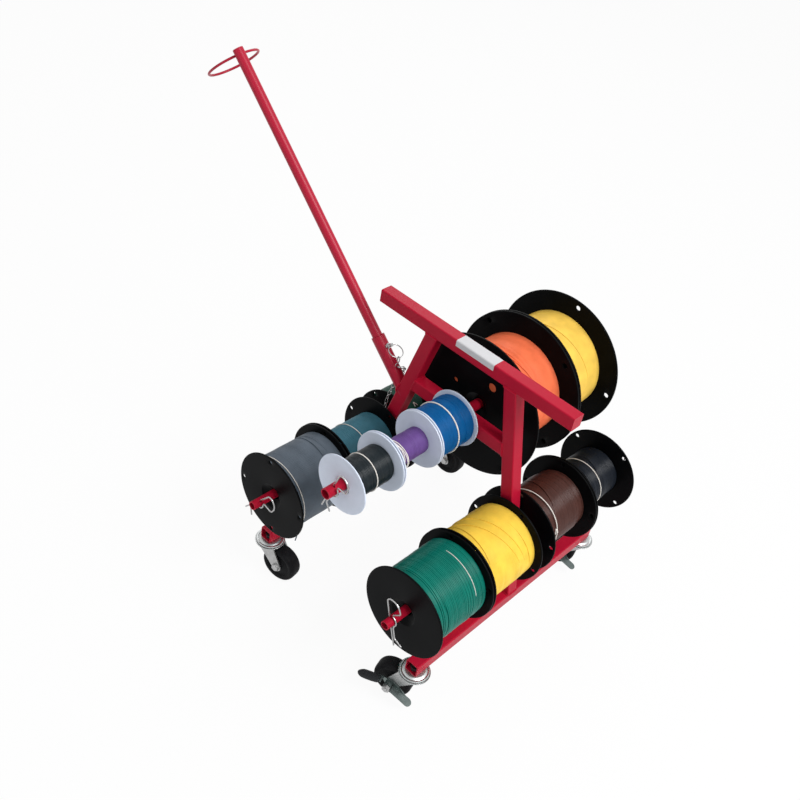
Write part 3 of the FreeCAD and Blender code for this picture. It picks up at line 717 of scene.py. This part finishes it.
# Windings
# fill: depth of the grooves between turns as a share of the wire; swell: rise in mm at mid width; uneven:
# wander in mm; gaps: places where two turns part; steps: (from, to, layers) where the top layer ends; cross:
# (from, to, first angle, last angle) of a strand that lies slantwise over the others
evenWinding = {"fill": 0.45, "swell": 0.0, "uneven": 0.20, "gaps": [], "steps": [], "cross": []}
windings = {
    "green": dict(evenWinding, fill=0.80, uneven=0.10, gaps=[0.13, 0.17, 0.22]),
    "amber": dict(evenWinding, fill=0.20, swell=1.2, uneven=0.30, gaps=[0.3, 0.66],
                  cross=[(0.12, 0.66, 175, 20), (0.40, 0.78, 160, 15), (0.80, 0.90, 80, 0),
                         (0.10, 0.24, 40, 150)]),
    "brown": dict(evenWinding, fill=0.55, swell=0.3, uneven=0.30, steps=[(0.86, 1.0, 0.8)],
                  cross=[(0.30, 0.62, 30, 160)]),
    "charcoal": dict(evenWinding, fill=0.75, uneven=0.25, gaps=[0.3, 0.34], cross=[(0.5, 0.66, 20, 120)]),
    "grey": dict(evenWinding, fill=0.28, uneven=0.15, gaps=[0.72, 0.80], steps=[(0.76, 0.84, 0.5)],
                 cross=[(0.70, 0.78, 20, 140)]),
    "teal": dict(evenWinding, fill=0.35),
    "forest": evenWinding,
    "black": dict(evenWinding, fill=0.80, uneven=0.12),
    "purple": dict(evenWinding, fill=0.30, swell=0.3),
    "blue": dict(evenWinding, uneven=0.15, gaps=[0.70, 0.76], steps=[(0.72, 0.77, 0.6)]),
    "orange": dict(evenWinding, fill=0.16, swell=0.8, uneven=0.25, gaps=[0.55],
                   cross=[(0.12, 0.60, 150, 10), (0.25, 0.45, 170, 60)]),
    "yellow": dict(evenWinding, fill=0.14, swell=0.8, uneven=0.25, gaps=[0.45],
                   cross=[(0.30, 0.70, 150, 10)]),
}
# How turns lie, as shares of the wire except clear, the room at the flanges in mm. pitch: from turn to turn;
# stray, times straySize, and lift: how far turns are off along and across; push and sink: (amount, reach in
# turns squared) by which a gap moves them apart and down; stepSharpness: of the ends of a step
laying = {"pitch": 0.985, "clear": 0.05, "stray": 0.10, "lift": 0.05, "push": (0.5, 3.0), "straySize": 0.45,
          "sink": (0.25, 0.6), "stepSharpness": 5}
# A strand laid over the others: its height at its ends and its rise at the middle, as shares of the wire
laidOver = {"ends": -0.55, "rise": 0.75}


def wander(angle, along, amount, seed):
    # Slow unevenness of a wound surface: amount * sum of seven waves round the reel and along it / 2.2
    r = np.random.default_rng(seed)
    total = np.zeros(angle.shape)
    for k in range(7):
        around, across = r.integers(0, 4), r.uniform(0.5, 4.0)
        phase = around * angle + across * 2 * math.pi * along + r.uniform(0, 6.28)
        total += np.sin(phase) * r.uniform(0.3, 1)
    return amount * total / 2.2


def windingSpan(name):
    # The y of the first and last turn's middle, and the number of turns between them
    reel = reels[name]
    inset = reel["kind"]["flange"] + reel["wire"] / 2 + laying["clear"]
    y0, y1 = reel["y"] + inset, reel["y"] + reel["kind"]["width"] - inset
    return y0, y1, round((y1 - y0) / (reel["wire"] * laying["pitch"]))


def windingTop(name, share):
    # Outside radius at a share of the span: winding radius + swell * (sin(pi * share) - 0.5)
    return reels[name]["windingR"] + windings[name]["swell"] * (np.sin(share * math.pi) - 0.5)


def unevenTop(name, angle, share, seed):
    # Rise over that radius: wander - layers * wire where the top layer ends, with a soft step at both ends
    how, sharp = windings[name], windingSpan(name)[2] * laying["stepSharpness"]
    rise = wander(angle, share, how["uneven"], seed)
    for start, stop, layers in how["steps"]:
        inside = 1 / (1 + np.exp(-(share - start) * sharp)) - 1 / (1 + np.exp(-(share - stop) * sharp))
        rise = rise - inside * layers * reels[name]["wire"]
    return rise


def wireHelix(name, seed):
    # One wire from end to end: radius = winding top - wire / 2 + rise + lift, sunk at gaps; y = y0 + share of
    # the span + stray, pushed apart at gaps
    reel, how = reels[name], windings[name]
    wire = reel["wire"]
    r = np.random.default_rng(seed)
    y0, y1, turns = windingSpan(name)
    steps = 56 if reel["windingR"] < 80 else 72  # corners in a turn
    angle = np.linspace(0, turns * 2 * math.pi, turns * steps + 1)
    share = angle / angle[-1]
    lap, laps = angle / (2 * math.pi), np.arange(turns + 2)
    aside = np.interp(lap, laps, r.normal(0, laying["stray"], len(laps)))
    lift = np.interp(lap, laps, r.normal(0, laying["lift"], len(laps))) * wire * how["fill"] * 2
    for gap in how["gaps"]:
        apart = (share - gap) * turns
        push, sink = laying["push"], laying["sink"]
        aside = aside + push[0] * np.exp(-apart**2 / push[1]) * np.sign(apart)
        lift = lift - sink[0] * wire * np.exp(-apart**2 / sink[1])
    along = np.clip(y0 + share * (y1 - y0) + aside * wire * laying["straySize"], y0, y1)
    radius = windingTop(name, share) - wire / 2 + unevenTop(name, angle, share, seed) + lift
    path = polar(radius, angle + r.uniform(0, 6.28), along, reelAxis(name))
    return carry(path, axisY, circle(wire / 2, 6))


def layerBelow(name, seed):
    # A drum that fills the grooves: radius = winding top - wire * fill + rise, closed down to the barrel
    reel = reels[name]
    wire = reel["wire"]
    y0, y1 = windingSpan(name)[:2]
    a = evenAngles(96)
    u = np.linspace(0, 1, 40)[:, None]
    drum = windingTop(name, u) - wire * windings[name]["fill"]
    drum = drum + unevenTop(name, a + 0 * u, u + 0 * a, seed)
    low = np.full_like(a, reel["kind"]["barrelR"] + 0.1)
    wide = np.concatenate([u[:1], u, u[-1:]])
    along = y0 - wire / 2 + wide * (y1 - y0 + wire)
    return surface(polar(np.concatenate([low, drum, low]), a, along, reelAxis(name)), wrapU=True, wrapV=True)


def strandOver(name, start, stop, first, last):
    # Height over the winding = wire * (ends + rise * sqrt(sin(pi * t)))
    wire = reels[name]["wire"]
    y0, y1 = windingSpan(name)[:2]
    t = np.linspace(0, 1, 60)
    share = start + (stop - start) * t
    height = wire * (laidOver["ends"] + laidOver["rise"] * np.sin(t * math.pi) ** 0.5)
    around = np.radians(first + (last - first) * t)
    path = polar(windingTop(name, share) + height, around, y0 + share * (y1 - y0), reelAxis(name))
    return carry(path, axisY, circle(wire / 2, 6))


for reelName in windings:
    seed = sorted(reels).index(reelName) + 11
    parts = [wireHelix(reelName, seed), layerBelow(reelName, seed)]
    parts += [strandOver(reelName, *strand) for strand in windings[reelName]["cross"]]
    piece(reelName + "Winding", reelName + "_spool", parts, wireFinish[reelName],
          [reelName + "_winding"], sharp=60)
print("windings made")

# Strings tied round the windings: (place along the width, slant, slack, angle where it hangs off, radius)
strings = {
    "grey": [(0.10, 1.0, 0.3, 0, 0.9)],
    "teal": [(0.50, 1.5, 0.3, 0, 0.8)],
    "black": [(0.52, 0.5, 0.3, 0, 0.9)],
    "purple": [(0.21, 3.0, 5.0, 30, 0.8), (0.25, 4.0, 7.0, 0, 0.8), (0.29, 7.0, 6.0, -15, 0.8),
               (0.23, 2.0, 3.0, 60, 0.7)],
    "blue": [(0.50, 0.5, 0.3, 0, 1.2)],
    "brown": [(0.265, 2.0, 2.2, 60, 1.0)],
    "charcoal": [(0.50, 2.0, 0.3, 0, 0.8)],
}
# (place, angle in degrees, size) of a knot with two short ends. At size 1, bump: its half section (radius,
# height); ends: points of an end (onward, aside, out), whose out stays the same at any size
knots = {"brown": [(0.265, 20.0, 1.0)], "forest": [(0.21, 70.0, 0.9)], "teal": [(0.50, -30.0, 0.8)]}
knotSizes = {"r": 0.8, "ends": [(0, 0, 0), (3.5, 2.5, 0.6), (8.0, 3.4, 0.3)],
             "bump": [(0.01, -2.2), (1.3, -1.8), (2.1, -0.7), (2.1, 0.8), (1.2, 1.8), (0.01, 2.2)]}
# (place, first angle, last angle, radius) of a pale strand that shows along a part of the winding
strands = {"green": (0.785, 22.0, 100.0, 0.55)}
# (place, angle, height) of points along a wire's loose end
tails = {"grey": [(0.16, -28.0, -1.0), (0.13, -38.0, 4.0), (0.10, -46.0, 15.0), (0.09, -52.0, 24.0)]}


def onWinding(name, place, angle, height):
    # Point at a share of the width and an angle, at a height over the winding
    reel = reels[name]
    kind = reel["kind"]
    along = reel["y"] + kind["flange"] + place * (kind["width"] - 2 * kind["flange"])
    return polar(reel["windingR"] + np.asarray(height), angle, along, reelAxis(name))


def stringLoop(name, place, slant, slack, hang, r):
    # height = 0.7 * string radius + slack * max(0, cos(angle - hanging angle)) ** 2; it slants as a sine
    kind = reels[name]["kind"]
    a = evenAngles(180)[0]
    off = np.maximum(np.cos(a - math.radians(hang)), 0) ** 2
    aside = slant * 0.5 * np.sin(a + 1.0) + slack * 0.25 * off
    path = onWinding(name, place + aside / (kind["width"] - 2 * kind["flange"]), a, r * 0.7 + slack * off)
    return carry(path, axisY, circle(r, 8), closed=True)


def knotParts(name, place, angle, size):
    # A turned bump, and two ends that run on round the reel and part from each other
    a, r = math.radians(angle), knotSizes["r"] * size
    middle = onWinding(name, place, a, r)
    out = unit(middle - onWinding(name, place, a, -5.0))
    onward = np.array((math.sin(a), 0.0, -math.cos(a)))
    parts = [turned(np.array(knotSizes["bump"]) * size, middle, axisY, 12)]
    for side in (-1, 1):
        bend = [middle + (onward * run + axisY * side * aside) * size + out * height
                for run, aside, height in knotSizes["ends"]]
        parts.append(carry(smoothPath(bend, 0.8), out, circle(r, 7)))
    return parts


for reelName in sorted(set(strings) | set(knots)):
    tied = [stringLoop(reelName, *loop) for loop in strings.get(reelName, [])]
    for knot in knots.get(reelName, []):
        tied += knotParts(reelName, *knot)
    piece(reelName + "String", reelName + "_spool", tied, tieString)
for reelName, (place, first, last, r) in strands.items():
    way = np.radians(np.linspace(first, last, 60))
    sunk = r * (0.35 - 1.6 * np.abs(np.linspace(-1, 1, 60)) ** 4)  # its ends dip into the winding
    strand = carry(onWinding(reelName, place, way, sunk), axisY, circle(r, 6))
    piece(reelName + "Strand", reelName + "_spool", [strand], tieString)
for reelName, points in tails.items():
    route = [onWinding(reelName, place, math.radians(angle), height) for place, angle, height in points]
    tail = carry(smoothPath(route, 1.0), axisY, circle(reels[reelName]["wire"] / 2, 8))
    piece(reelName + "Tail", reelName + "_spool", [tail], wireFinish[reelName])
print("strings made")

# Casters
casterSizes = {
    "y": 242.0, "trail": 32.0, "wheelR": 36.0, "width": 27.0, "gap": 30.0, "crownEdge": (27.2, 1.0, 76.2),
    "yaw": {"front_left": 10.0, "front_right": 195.5, "rear_left": 5.0, "rear_right": 195.5},
    # upper raceway's half section (radius, height): flat under the rail, a groove, then a rolled edge
    "raceway": [(8.0, 82.0), (17.0, 82.0), (19.0, 81.6), (20.8, 80.4), (22.0, 79.8), (23.0, 80.2),
                (24.2, 80.5), (25.3, 80.1), (25.9, 79.2), (25.9, 78.5), (25.2, 77.8), (24.0, 77.6),
                (8.0, 77.6)],
}


def swivelPlace(name):
    # Where a caster's swivel axis meets the floor
    side = -1 if "left" in name else 1
    end = -1 if "front" in name else 1
    return np.array((side * frameSizes["railX"], end * casterSizes["y"], 0.0))


def casterPlace(name, parts):
    # Turns surfaces drawn with the swivel axis at X = Y = 0 and the trail along +X
    a = math.radians(casterSizes["yaw"][name])
    turn = np.array([[math.cos(a), math.sin(a), 0], [-math.sin(a), math.cos(a), 0], [0, 0, 1]])
    return [(corners @ turn + swivelPlace(name), quads, caps) for corners, quads, caps in parts]


def wheelSurface():
    # Half profile (radius, height) from the hub's end over the dished side and the crowned tread, mirrored
    s = casterSizes
    half, outer = s["width"] / 2, s["wheelR"]
    hub = s["gap"] / 2 - 0.4
    side = [(4.15, hub - 0.3), (4.6, hub), (8.2, hub), (8.8, hub - 0.5), (9.4, hub - 1.6), (20.6, 10.7),
            (22.4, 10.5), (23.4, 10.8), (24.2, 11.9), (26.0, 12.8), (29.6, half - 0.05), (31.4, half),
            (32.9, half - 0.5), (34.2, half - 1.7), (35.1, half - 3.3), (35.7, half - 5.2),
            (outer, half - 8.0)]
    profile = side + [(r, -height) for r, height in side[::-1]]
    return turned(profile, (s["trail"], 0, outer), axisY)


raceways = [turned(casterSizes["raceway"], swivelPlace(name), axisZ, 72) for name in casterSizes["yaw"]]
piece("rolledRaceways", "frame", raceways, zincSteel, ["upper_raceways"])
for casterName in casterSizes["yaw"]:
    edgeR, edgeWire, edgeZ = casterSizes["crownEdge"]
    edge = ringTube(swivelPlace(casterName) + axisZ * edgeZ, axisZ, edgeR, edgeWire, 72, 10)
    piece(casterName + "CrownEdge", casterName + "_caster", [edge], zincSteel)
    piece(casterName + "Tyre", casterName + "_roller", casterPlace(casterName, [wheelSurface()]), tyreRubber,
          [casterName + "_wheel"])

# Moulded cover on the foot wing of each brake lever. start: (along, up) from the axle; tipFrom and heelTo:
# where the rounding of its ends starts, as shares of the length; heel, narrow and flat: width at the heel,
# and width and thickness at both ends, as shares; belly: thickness added at the middle
padSizes = {"start": (16.0, 8.0), "inner": 18.1, "slope": math.radians(-14.0), "length": 43.0, "width": 18.0,
            "thick": 7.0, "tipFrom": 0.70, "tipRound": 0.985, "tipThins": 0.6, "heelTo": 0.06, "heel": 0.72,
            "narrow": 0.84, "flat": 0.92, "belly": 0.22, "boxy": 0.8}


def padSurface():
    # start + run * length * t + across * a(t) cos + normal * b(t) sin, with a and b rounded off at both ends
    s, p = casterSizes, padSizes
    t = 0.5 - 0.5 * np.cos(np.linspace(0, math.pi, 40))
    bulge = np.sin(math.pi * t)
    tip = np.sqrt(1 - p["tipRound"] * np.clip((t - p["tipFrom"]) / (1 - p["tipFrom"]), 0, 1) ** 2)
    heel = p["heel"] + (1 - p["heel"]) * np.sqrt(1 - (1 - np.clip(t / p["heelTo"], 0, 1)) ** 2)
    wide = p["width"] / 2 * (p["narrow"] + (1 - p["narrow"]) * bulge) * tip * heel
    thick = p["thick"] / 2 * (p["flat"] + p["belly"] * bulge) * tip ** p["tipThins"] * heel
    oval = circle(1.0, 36)
    oval = np.sign(oval) * np.abs(oval) ** p["boxy"]
    run = np.array((math.cos(p["slope"]), 0.0, math.sin(p["slope"])))
    normal = np.array((-run[2], 0.0, run[0]))
    start = np.array((s["trail"] + p["start"][0], p["inner"] + p["width"] / 2, s["wheelR"] + p["start"][1]))
    line = start + run * (p["length"] * t)[:, None]
    across = axisY * (wide[:, None, None] * oval[None, :, :1])
    grid = line[:, None] + across + normal * (thick[:, None, None] * oval[None, :, 1:])
    return surface(grid, wrapV=True, capU=True)


for brakeName in ("front_right", "rear_right"):
    piece(brakeName + "PadCover", brakeName + "_brake", casterPlace(brakeName, [padSurface()]), padPlastic,
          [brakeName + "_brake_pad"])
print("casters made")

# Floor, world and lamps. World strengths: what lights the object, and what the camera and mirrors see.
# glow: how much of the floor they see as plain white; lamps: (name, place, side in metres, watts)
studio = {
    "world": 0.45,
    "seenWorld": 0.961,
    "floorColour": (0.82, 0.82, 0.82, 1),
    "floorRough": 0.9,
    "floorHalf": 30,
    "glow": 0.94,
    "lamps": [
        ("keyLamp", (2.4, 0.2, 2.9), 1.8, 100.0),
        ("skyLamp", (-1.6, 2.2, 2.6), 1.5, 20.0),
        ("frontLamp", (-0.6, -2.8, 1.8), 1.6, 8.0),
    ],
    "lampsFace": (0.05, 0, 0.25),
}


def seenDirectly(tree):
    # 1 for camera, glossy and transmission rays, else 0: the largest of the three
    path = addNode(tree, "LightPath")
    rays = ("Is Camera Ray", "Is Glossy Ray", "Is Transmission Ray")
    camera, glossy, through = (path.outputs[ray] for ray in rays)
    return mathNode(tree, "MAXIMUM", mathNode(tree, "MAXIMUM", camera, glossy), through)


def mixInto(tree, share, lit, seen, output):
    # lit * (1 - share) + seen * share, joined to the output's surface
    mix = addNode(tree, "MixShader")
    for socket, source in zip(mix.inputs, (share, lit.outputs[0], seen.outputs[0])):
        tree.links.new(source, socket)
    tree.links.new(mix.outputs[0], tree.nodes[output].inputs["Surface"])


def makeWorld():
    # Pale all round, brighter where it is seen than where it lights
    world = bpy.data.worlds.new("paleStudio")
    world.use_nodes = True
    bpy.context.scene.world = world
    tree = world.node_tree
    lit = tree.nodes["Background"]
    lit.inputs["Color"].default_value = (1, 1, 1, 1)
    lit.inputs["Strength"].default_value = studio["world"]
    seen = addNode(tree, "Background", {"Color": (1, 1, 1, 1), "Strength": studio["seenWorld"]})
    mixInto(tree, seenDirectly(tree), lit, seen, "World Output")


def makeFloor():
    # One square at z = 0, matt where it is lit and nearly plain white where it is seen
    half = studio["floorHalf"]
    mesh = bpy.data.meshes.new("studioFloor")
    corners = [(-half, -half, 0), (half, -half, 0), (half, half, 0), (-half, half, 0)]
    mesh.from_pydata(corners, [], [(0, 1, 2, 3)])
    floor = bpy.data.objects.new("studioFloor", mesh)
    bpy.context.scene.collection.objects.link(floor)
    pale = bpy.data.materials.new("paleFloor")
    pale.use_nodes = True
    tree = pale.node_tree
    lit = tree.nodes["Principled BSDF"]
    lit.inputs["Base Color"].default_value = studio["floorColour"]
    lit.inputs["Roughness"].default_value = studio["floorRough"]
    lit.inputs["Specular IOR Level"].default_value = 0.0
    seen = addNode(tree, "Emission", {"Strength": 1.0})
    share = mathNode(tree, "MULTIPLY", seenDirectly(tree), studio["glow"])
    mixInto(tree, share, lit, seen, "Material Output")
    floor.data.materials.append(pale)


def makeLamp(name, at, size, watts):
    # Square area lamp that faces the middle of the cart
    light = bpy.data.lights.new(name, "AREA")
    light.shape = "SQUARE"
    light.size = size
    light.energy = watts
    lamp = bpy.data.objects.new(name, light)
    lamp.location = at
    lamp.rotation_euler = (Vector(studio["lampsFace"]) - Vector(at)).to_track_quat("-Z", "Y").to_euler()
    bpy.context.scene.collection.objects.link(lamp)


makeWorld()
makeFloor()
for lampName, at, size, watts in studio["lamps"]:
    makeLamp(lampName, at, size, watts)
bpy.context.scene.view_settings.view_transform = "Standard"
print("studio set")
